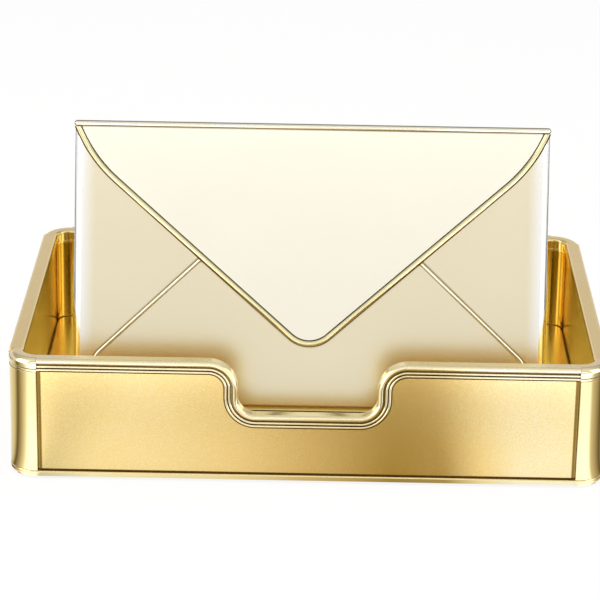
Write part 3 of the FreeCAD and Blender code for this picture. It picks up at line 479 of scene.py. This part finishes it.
def make_materials(context):
    """All finishes, made once and kept by name."""
    colours = context.scene.letter_tray_colours
    finish = context.scene.letter_tray_finish
    if "polished gold" in bpy.data.materials:
        return
    polish = finish.polish_roughness
    # Tones of the painted shade in grooves and seams
    painted_shade = colours.painted_shade
    seam = colours.seam
    polished_metal("polished gold", colours.polished, painted_shade, polish, finish, top_satin=True)
    # Painted light: the front rim in a paler copy of the polished gold
    polished_metal("front rim gold", colours.front_rim, painted_shade, polish, finish, top_satin=True)
    # Painted shade in the hollows of the posts
    polished_metal("post gold", colours.polished, painted_shade, polish, finish, hollow=colours.shaded)
    polished_metal("inner gold", colours.inner, LINER_JOINT_SHADE, polish + 0.05, finish)
    # Painted shade towards the rear corners
    polished_metal("side liner gold", colours.inner, LINER_JOINT_SHADE, polish + 0.05, finish,
                   rear_shade_tone=colours.far)
    # Painted light: the floor in a lighter copy of the gold
    polished_metal("floor gold", colours.floor, LINER_JOINT_SHADE, polish + 0.12, finish)
    # Painted shade: the front liner in a darker copy of the gold
    polished_metal("shaded gold", colours.shaded, painted_shade, polish + 0.05, finish)
    # Painted shade on the flanks of the trim and the beads
    polished_metal("pale gold", colours.pale, seam, polish + 0.03, finish, flanks=colours.groove,
                   graze=colours.graze)
    polished_metal("seam gold", colours.bead, colours.seam_bead_shade, polish + 0.05, finish,
                   flanks=colours.seam_bead_shade, graze=colours.graze)
    polished_metal("champagne bead", colours.bead, seam, polish + 0.06, finish,
                   flanks=colours.bead_edge_shade)
    polished_metal("turned brass", colours.brass, painted_shade, polish + 0.07, finish)
    # Outer panels, with painted shade at each end
    for name, axis, half in (("satin gold", "X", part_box("front_panel")[1].x),
                             ("side satin gold", "Y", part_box("left_panel")[1].y)):
        satin_metal(name, colours.satin, painted_shade, finish.satin_roughness, finish, sparkle=0.32,
                    depth=1.35, reach=1.5, open_at=0.92, ends=(axis, half))
    # Pocket body, with painted light towards its side edges
    satin_metal("champagne satin", colours.champagne, colours.groove,
                finish.envelope_roughness - 0.04, finish, sparkle=0.05, depth=1.1, reach=1.3,
                open_at=0.9, painted_light_sides=True)
    satin_metal("pale champagne", colours.flap, seam, finish.envelope_roughness, finish,
                sparkle=0.03, depth=1.15)
    rubber_material("foot rubber", colours.rubber)


MATERIAL_OF_SLOT = {
    "polished_gold": "polished gold",
    "polished_gold_inner": "inner gold",
    "satin_gold": "satin gold",
    "pale_gold": "pale gold",
    "champagne_satin": "champagne satin",
    "champagne_flap": "pale champagne",
    "brass_hardware": "turned brass",
    "rubber_foot": "foot rubber",
}


def nodes_named(*starts):
    """Names of the CAD nodes that start with any of these words."""
    return [name for name in NODES if name.startswith(starts)]


def dress_nodes(context, names, finish=None):
    """Give CAD nodes the material of their slot, or another finish."""
    make_materials(context)
    for name in names:
        node = NODES[name]
        material = bpy.data.materials[finish or MATERIAL_OF_SLOT[SLOT_OF[name]]]
        if not node.material_slots:
            node.data.materials.append(material)
        for slot in node.material_slots:
            slot.material = material


# Modelling helpers
def deselect():
    bpy.ops.object.select_all(action="DESELECT")


def make_active(piece):
    deselect()
    piece.select_set(True)
    bpy.context.view_layer.objects.active = piece


def apply_transform():
    bpy.ops.object.transform_apply(location=True, rotation=True, scale=True)


def turned(name, profile, segments):
    """A turned piece: a disc extruded and scaled along a profile of (radius, height) steps."""
    deselect()
    radius, height = profile[0]
    bpy.ops.mesh.primitive_circle_add(vertices=segments, radius=radius, fill_type="NGON",
                                      location=(0, 0, height))
    piece = bpy.context.active_object
    piece.name = name
    apply_transform()
    bpy.ops.object.mode_set(mode="EDIT")
    bpy.ops.mesh.select_all(action="SELECT")
    for (radius, height), (next_radius, next_height) in zip(profile, profile[1:]):
        rise = (0, 0, next_height - height)
        bpy.ops.mesh.extrude_region_move(TRANSFORM_OT_translate={"value": rise})
        ratio = next_radius / radius
        bpy.ops.transform.resize(value=(ratio, ratio, 1), center_override=(0, 0, next_height))
    bpy.ops.mesh.select_all(action="SELECT")
    bpy.ops.mesh.remove_doubles(threshold=1e-6)
    bpy.ops.mesh.normals_make_consistent(inside=False)
    bpy.ops.object.mode_set(mode="OBJECT")
    return piece


def carve(piece, cutter):
    """Cut one piece out of another and drop the cutter."""
    make_active(piece)
    cut = piece.modifiers.new("Recess", "BOOLEAN")
    cut.operation = "DIFFERENCE"
    cut.solver = "EXACT"
    cut.object = cutter
    bpy.ops.object.modifier_apply(modifier=cut.name)
    bpy.data.objects.remove(cutter)


def soften(piece, width):
    """Round the sharp edges and shade smooth between them."""
    make_active(piece)
    bevel = piece.modifiers.new("Edges", "BEVEL")
    bevel.width = width
    bevel.segments = 2
    bevel.limit_method = "ANGLE"
    bevel.angle_limit = SHARP
    bpy.ops.object.modifier_apply(modifier=bevel.name)
    bpy.ops.object.shade_smooth_by_angle(angle=SHARP)


def numbered(stem):
    """Names of the four CAD nodes of one kind."""
    return [f"{stem}_{number}" for number in range(1, 5)]


def stand_for(context, pattern, nodes, body, slot):
    """Copy a piece to the place of each of its CAD nodes, each copy with its own mesh."""
    make_materials(context)
    pattern.data.materials.append(bpy.data.materials[MATERIAL_OF_SLOT[slot]])
    for node in nodes:
        low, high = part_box(node)
        middle = (low + high) / 2
        piece = pattern.copy()
        piece.data = pattern.data.copy()
        piece.name = node + "_detail"
        bpy.context.scene.collection.objects.link(piece)
        piece.location = (middle.x, middle.y, low.z)
        make_active(piece)
        apply_transform()
        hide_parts(node)
        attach(piece, body)
    bpy.data.objects.remove(pattern)


# Operators: one for each piece or group of like pieces
class LETTERTRAY_OT_rims(bpy.types.Operator):
    """Finish the rim mouldings, corner posts and base rail in polished gold"""
    bl_idname = "lettertray.rims"
    bl_label = "Rim, Posts and Base Rail"

    def execute(self, context):
        front = nodes_named("rim_front_", "rim_corner_front_", "notch_")
        dress_nodes(context, [name for name in nodes_named("rim_") if name not in front])
        dress_nodes(context, ["base_rail"])
        # Painted light: the front rim in a paler copy of the polished gold
        dress_nodes(context, front, "front rim gold")
        # Posts with painted shade in their hollows
        dress_nodes(context, nodes_named("corner_post_"), "post gold")
        return {"FINISHED"}


class LETTERTRAY_OT_skins(bpy.types.Operator):
    """Finish the satin outer panels and the polished liners"""
    bl_idname = "lettertray.skins"
    bl_label = "Panels and Liners"

    def execute(self, context):
        dress_nodes(context, ["front_panel", "rear_panel"])
        dress_nodes(context, ["left_panel", "right_panel"], "side satin gold")
        # Side liners with painted shade towards the rear corners
        dress_nodes(context, ["left_liner", "right_liner"], "side liner gold")
        dress_nodes(context, ["rear_liner"])
        # Painted shade: the front liner in a darker copy of the gold
        dress_nodes(context, ["front_liner"], "shaded gold")
        return {"FINISHED"}


class LETTERTRAY_OT_floor(bpy.types.Operator):
    """Finish the tray's floor and the bracket that holds the envelope pocket"""
    bl_idname = "lettertray.floor"
    bl_label = "Floor and Rest"

    def execute(self, context):
        # Painted light: floor and rest in a lighter copy of the gold
        dress_nodes(context, ["floor_panel", "envelope_rest"], "floor gold")
        return {"FINISHED"}


class LETTERTRAY_OT_envelope(bpy.types.Operator):
    """Finish the envelope pocket's body and its seam beads"""
    bl_idname = "lettertray.envelope"
    bl_label = "Envelope Pocket"

    def execute(self, context):
        dress_nodes(context, ["envelope_back", "left_side_flap", "right_side_flap", "bottom_flap"])
        dress_nodes(context, ["left_seam_bead", "right_seam_bead"], "seam gold")
        return {"FINISHED"}


class LETTERTRAY_OT_flap(bpy.types.Operator):
    """Finish the hinged top flap, its V-shaped trim and its top bead"""
    bl_idname = "lettertray.flap"
    bl_label = "Top Flap"

    def execute(self, context):
        dress_nodes(context, ["top_flap", "flap_trim"])
        dress_nodes(context, ["flap_top_bead"], "champagne bead")
        return {"FINISHED"}


class LETTERTRAY_OT_hinge_pin(bpy.types.Operator):
    """Model the hinge pin with its rounded ends"""
    bl_idname = "lettertray.hinge_pin"
    bl_label = "Hinge Pin"

    def execute(self, context):
        sizes = context.scene.letter_tray_sizes
        low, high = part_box("hinge_pin")
        length = high.x - low.x
        radius = (high.z - low.z) / 2
        dome = radius * 0.6
        pin = turned("hinge_pin_detail", [
            (radius * 0.55, -length / 2),
            (radius * 0.85, -length / 2 + dome * 0.25),
            (radius, -length / 2 + dome),
            (radius, length / 2 - dome),
            (radius * 0.85, length / 2 - dome * 0.25),
            (radius * 0.55, length / 2),
        ], sizes.segments)
        make_active(pin)
        pin.rotation_euler = (0, math.radians(90), 0)
        pin.location = (low + high) / 2
        apply_transform()
        bpy.ops.object.shade_smooth_by_angle(angle=math.radians(40))
        make_materials(context)
        pin.data.materials.append(bpy.data.materials["turned brass"])
        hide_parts("hinge_pin")
        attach(pin, "envelope")
        return {"FINISHED"}


class LETTERTRAY_OT_post_screws(bpy.types.Operator):
    """Model the countersunk socket screws that hold the corner posts from below"""
    bl_idname = "lettertray.post_screws"
    bl_label = "Post Screws"

    def execute(self, context):
        sizes = context.scene.letter_tray_sizes
        low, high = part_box("post_screw_1")
        edge_height = 0.0001
        head_height = 0.0016
        tip_height = 0.0006
        head = (high.x - low.x) / 2
        shank = head - head_height
        length = high.z - low.z
        screw = turned("post_screw_pattern", [
            (head, 0),
            (head, edge_height),
            (shank, head_height),
            (shank, length - tip_height),
            (shank * 0.7, length),
        ], sizes.segments)
        deselect()
        bpy.ops.mesh.primitive_cylinder_add(vertices=6, radius=sizes.socket_width / math.sqrt(3),
                                            depth=sizes.socket_depth * 2, location=(0, 0, 0))
        carve(screw, bpy.context.active_object)
        soften(screw, width=0.00006)
        stand_for(context, screw, numbered("post_screw"), "tray", "brass_hardware")
        return {"FINISHED"}


class LETTERTRAY_OT_rest_screws(bpy.types.Operator):
    """Model the domed screws with cross recesses that hold the envelope's rest"""
    bl_idname = "lettertray.rest_screws"
    bl_label = "Rest Screws"

    def execute(self, context):
        sizes = context.scene.letter_tray_sizes
        low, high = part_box("rest_screw_1")
        head_height = 0.0017
        edge_height = 0.0005
        dome_width = 0.0010
        dome_height = 0.0012
        cross_depth = 0.0009
        head = (high.x - low.x) / 2
        height = high.z - low.z
        shank = head / 2
        seat = height - head_height
        steps = [(shank * 0.7, 0), (shank, edge_height), (shank, seat), (head, seat),
                 (head, seat + edge_height)]
        for angle in (20, 40, 60, 78):
            steps.append((head - dome_width + dome_width * math.cos(math.radians(angle)),
                          seat + edge_height + dome_height * math.sin(math.radians(angle))))
        steps.append((head * 0.45, height))
        screw = turned("rest_screw_pattern", steps, sizes.segments)
        for turn in (0, 90):
            deselect()
            bpy.ops.mesh.primitive_cube_add(size=1, location=(0, 0, height))
            arm = bpy.context.active_object
            arm.dimensions = (sizes.cross_length, sizes.cross_width, cross_depth * 2)
            arm.rotation_euler = (0, 0, math.radians(turn))
            apply_transform()
            carve(screw, arm)
        soften(screw, width=0.00005)
        stand_for(context, screw, numbered("rest_screw"), "tray", "brass_hardware")
        return {"FINISHED"}


class LETTERTRAY_OT_feet(bpy.types.Operator):
    """Model the rubber feet with rounded edges and a ring groove"""
    bl_idname = "lettertray.feet"
    bl_label = "Rubber Feet"

    def execute(self, context):
        sizes = context.scene.letter_tray_sizes
        low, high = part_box("foot_1")
        edge = 0.0004
        radius = (high.x - low.x) / 2
        height = high.z - low.z
        groove = sizes.foot_groove
        foot = turned("foot_pattern", [
            (radius * 0.40, 0),
            (radius * 0.55, 0),
            (radius * 0.58, groove),
            (radius * 0.68, groove),
            (radius * 0.71, 0),
            (radius - edge, 0),
            (radius - edge * 0.25, edge * 0.3),
            (radius, edge),
            (radius, height),
        ], sizes.segments)
        soften(foot, width=0.00005)
        stand_for(context, foot, numbered("foot"), "tray", "rubber_foot")
        return {"FINISHED"}


# Stage
def aim(thing, place, target):
    thing.location = place
    thing.rotation_mode = "QUATERNION"
    thing.rotation_quaternion = (Vector(target) - Vector(place)).to_track_quat("-Z", "Y")


def grey_stops(stops):
    """Stops of a grey ramp, from places and levels."""
    return [(place, (level, level, level)) for place, level in stops]


def add_softbox(name, place, target, width, height, level, in_gloss=True):
    """An area light of a given radiance; gloss sees it or not."""
    light = bpy.data.lights.new(name, "AREA")
    light.shape = "RECTANGLE"
    light.size = width
    light.size_y = height
    light.energy = math.pi * width * height * level
    softbox = bpy.data.objects.new(name, light)
    bpy.context.scene.collection.objects.link(softbox)
    softbox.visible_camera = False
    softbox.visible_glossy = in_gloss
    aim(softbox, place, target)


def add_gloss_card(name):
    """A sheet on the floor that only gloss sees, as a photographer lays cards round polished
    metal.

    Its tone runs along the front wall and then round each corner of the tray. It is darker close
    to the tray and far behind it, and lighter far in front."""
    deselect()
    bpy.ops.mesh.primitive_plane_add(size=1, location=(0, 0, CARD_HEIGHT))
    card = bpy.context.active_object
    card.name = name
    card.dimensions = CARD_SIZE
    apply_transform()
    material, graph = new_material(name)
    across = graph.axis("X")
    ahead = -1 * graph.axis("Y")
    aside = graph.maths("ABSOLUTE", across) - CORNER_CENTRE[0]
    beyond = ahead - CORNER_CENTRE[1]
    turn = graph.maths("ARCTAN2", aside, beyond) * (1 / math.pi)
    straight = graph.ramp(CARD_FRONT, across * (0.5 / CORNER_CENTRE[0]) + 0.5)
    round_left = graph.ramp(CARD_LEFT, turn)
    round_right = graph.ramp(CARD_RIGHT, turn)
    corner = graph.tint(graph.step(across, -0.001, 0.001), round_left, round_right)
    colour = graph.tint(graph.step(aside, -0.001, 0.001), straight, corner)
    outward = graph.length(graph.maths("MAXIMUM", aside, 0), graph.maths("MAXIMUM", beyond, 0))
    clear = graph.step(outward, *CARD_EDGE)
    near = graph.step(ahead, *CARD_AHEAD)
    far = graph.step(ahead, *CARD_FAR_AHEAD)
    behind = graph.step(outward, *CARD_OUTSIDE) * graph.step(ahead, *CARD_BEHIND)
    strength = 0.9 + clear * 0.1 - near * 0.2 + far * 1.2 - behind * 0.75
    graph.close("ShaderNodeOutputMaterial",
                graph.node("ShaderNodeEmission", {}, {"Color": colour, "Strength": strength}))
    card.data.materials.append(material)
    card.visible_camera = False
    card.visible_diffuse = False
    card.visible_shadow = False
    card.visible_transmission = False


class LETTERTRAY_OT_stage(bpy.types.Operator):
    """Set up the camera, the pale floor, the studio and its lights"""
    bl_idname = "lettertray.stage"
    bl_label = "Stage"

    def add_camera(self):
        yaw, pitch, roll = (math.radians(angle)
                            for angle in (CAMERA_YAW, CAMERA_PITCH, CAMERA_ROLL))
        ahead = Vector((math.sin(yaw) * math.cos(pitch), math.cos(yaw) * math.cos(pitch),
                        -math.sin(pitch)))
        right = Vector((math.cos(yaw), -math.sin(yaw), 0))
        up = right.cross(ahead)
        side = right * math.cos(roll) + up * math.sin(roll)
        head = up * math.cos(roll) - right * math.sin(roll)
        data = bpy.data.cameras.new("camera")
        data.sensor_fit = "HORIZONTAL"
        data.sensor_width = 36
        data.lens = CAMERA_LENS
        data.clip_start = 0.05
        data.clip_end = 30
        camera = bpy.data.objects.new("camera", data)
        bpy.context.scene.collection.objects.link(camera)
        turn = Matrix((side, head, -ahead)).transposed()
        camera.matrix_world = Matrix.Translation(CAMERA_PLACE) @ turn.to_4x4()
        bpy.context.scene.camera = camera

    def add_floor(self, studio):
        deselect()
        bpy.ops.mesh.primitive_plane_add(size=8, location=(0, 0, FLOOR_HEIGHT))
        floor = bpy.context.active_object
        floor.name = "studio_floor"
        apply_transform()
        material, graph = new_material("pale floor")
        camera, gloss, through = (
            graph.node("ShaderNodeLightPath", output=ray)
            for ray in ("Is Camera Ray", "Is Glossy Ray", "Is Transmission Ray"))
        seen = graph.step(camera + gloss + through, 0, 1)
        paint = graph.node("ShaderNodeBsdfDiffuse", {}, {"Color": opaque(studio.floor_colour)})
        glow = graph.node("ShaderNodeEmission", {}, {"Color": (1, 1, 1, 1), "Strength": 1.0})
        shader = graph.node("ShaderNodeMixShader", {}, {0: seen * FLOOR_GLOW, 1: paint, 2: glow})
        graph.close("ShaderNodeOutputMaterial", shader)
        floor.data.materials.append(material)

    def add_world(self, studio):
        world = bpy.data.worlds.new("studio")
        world.use_nodes = True
        bpy.context.scene.world = world
        graph = Graph(world.node_tree)
        direction = graph.node("ShaderNodeTexCoord", output="Generated")
        height = graph.node("ShaderNodeSeparateXYZ", {}, {"Vector": direction}, output="Z")
        behind = graph.node("ShaderNodeSeparateXYZ", {}, {"Vector": direction}, output="Y")
        front = graph.ramp(grey_stops(FRONT_WALL), height)
        rear = graph.ramp(REAR_WALL_FOOT + grey_stops(REAR_WALL), height)
        colour = graph.tint(graph.step(behind, -0.2, 0.2), front, rear)
        shade = graph.node("ShaderNodeBackground", {},
                           {"Color": colour, "Strength": studio.wall_level})
        graph.close("ShaderNodeOutputWorld", shade)

    def execute(self, context):
        studio = context.scene.letter_tray_studio
        context.scene.view_settings.view_transform = "Standard"
        self.add_camera()
        self.add_floor(studio)
        self.add_world(studio)
        add_softbox("front softbox", place=(0.1, -1.77, 1.04), target=(0, 0, 0.1),
                    width=2.4, height=0.26, level=studio.front_level)
        add_softbox("top softbox", place=(-0.2, 0.05, 1.6), target=(0, 0, 0.05),
                    width=1.5, height=1.1, level=studio.top_level, in_gloss=False)
        add_softbox("left softbox", place=(-1.2, -0.6, 0.6), target=(0, 0, 0.1),
                    width=1.0, height=1.2, level=studio.side_level)
        add_softbox("right softbox", place=(1.25, -0.5, 0.6), target=(0, 0, 0.1),
                    width=0.9, height=1.2, level=studio.side_level * 0.8)
        add_gloss_card("gloss card")
        return {"FINISHED"}


class LETTERTRAY_PT_panel(bpy.types.Panel):
    """Lists the steps that dress the letter tray"""
    bl_label = "Letter Tray"
    bl_idname = "LETTERTRAY_PT_panel"
    bl_space_type = "VIEW_3D"
    bl_region_type = "UI"
    bl_category = "Letter Tray"

    def draw(self, context):
        layout = self.layout
        for group in (context.scene.letter_tray_colours, context.scene.letter_tray_finish,
                      context.scene.letter_tray_sizes, context.scene.letter_tray_studio):
            box = layout.box()
            for name in group.__annotations__:
                box.prop(group, name)
        for operator in OPERATORS:
            layout.operator(operator.bl_idname)


GROUPS = {
    "letter_tray_colours": LetterTrayColours,
    "letter_tray_finish": LetterTrayFinish,
    "letter_tray_sizes": LetterTraySizes,
    "letter_tray_studio": LetterTrayStudio,
}
OPERATORS = (
    LETTERTRAY_OT_stage,
    LETTERTRAY_OT_rims,
    LETTERTRAY_OT_skins,
    LETTERTRAY_OT_floor,
    LETTERTRAY_OT_envelope,
    LETTERTRAY_OT_flap,
    LETTERTRAY_OT_hinge_pin,
    LETTERTRAY_OT_post_screws,
    LETTERTRAY_OT_rest_screws,
    LETTERTRAY_OT_feet,
)
CLASSES = tuple(GROUPS.values()) + OPERATORS + (LETTERTRAY_PT_panel,)


def register():
    for item in CLASSES:
        bpy.utils.register_class(item)
    for name, group in GROUPS.items():
        setattr(bpy.types.Scene, name, PointerProperty(type=group))


def unregister():
    for name in GROUPS:
        delattr(bpy.types.Scene, name)
    for item in reversed(CLASSES):
        bpy.utils.unregister_class(item)


def main():
    register()
    bpy.ops.lettertray.stage()
    bpy.ops.lettertray.rims()
    bpy.ops.lettertray.skins()
    bpy.ops.lettertray.floor()
    bpy.ops.lettertray.envelope()
    bpy.ops.lettertray.flap()
    bpy.ops.lettertray.hinge_pin()
    bpy.ops.lettertray.post_screws()
    bpy.ops.lettertray.rest_screws()
    bpy.ops.lettertray.feet()


if __name__ == "__main__":
    main()
